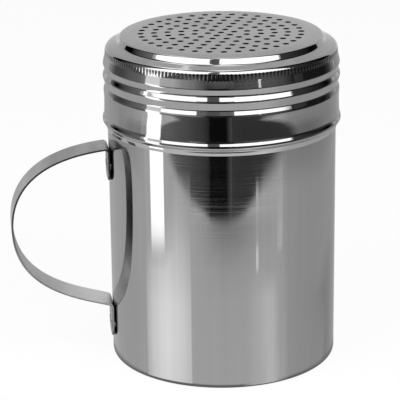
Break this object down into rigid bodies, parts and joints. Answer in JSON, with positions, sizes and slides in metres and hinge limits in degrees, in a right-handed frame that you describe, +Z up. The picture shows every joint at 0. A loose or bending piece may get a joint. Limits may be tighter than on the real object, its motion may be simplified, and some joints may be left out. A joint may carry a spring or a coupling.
{
  "type": "spice shaker",
  "caption": "Stainless steel spice shaker: a straight cup with a strap handle and a ribbed, knurled lid with a perforated top that lifts off and turns.",
  "frame": {"origin": "centre of the cup's flat bottom, on the surface it stands on", "axes": "+Z up along the cup's axis, -X towards the handle"},
  "size_m": [0.0979, 0.0698, 0.0979],
  "materials": {
    "cup_steel": "bright rolled steel with a faint upright grain",
    "strap_steel": "satin",
    "weld_steel": "heat-darkened",
    "lid_steel": "bright pressed steel"
  },
  "bodies": {
    "cup": {"cup_body": "cup_steel", "handle_strap": "strap_steel", "upper_tab_welds": "weld_steel", "lower_tab_welds": "weld_steel"},
    "rim": {"lid_rolled_rim": "lid_steel"},
    "lid": {"lid_shell": "lid_steel"}
  },
  "joints": [
    {"name": "lid_lift", "type": "slide", "parent": "cup", "child": "rim", "axis": [0, 0, 1], "range_m": [0, 0.03]},
    {"name": "lid_twist", "type": "hinge", "parent": "rim", "child": "lid", "pos_m": [0, 0, 0.0732], "axis": [0, 0, 1], "continuous": true}
  ]
}
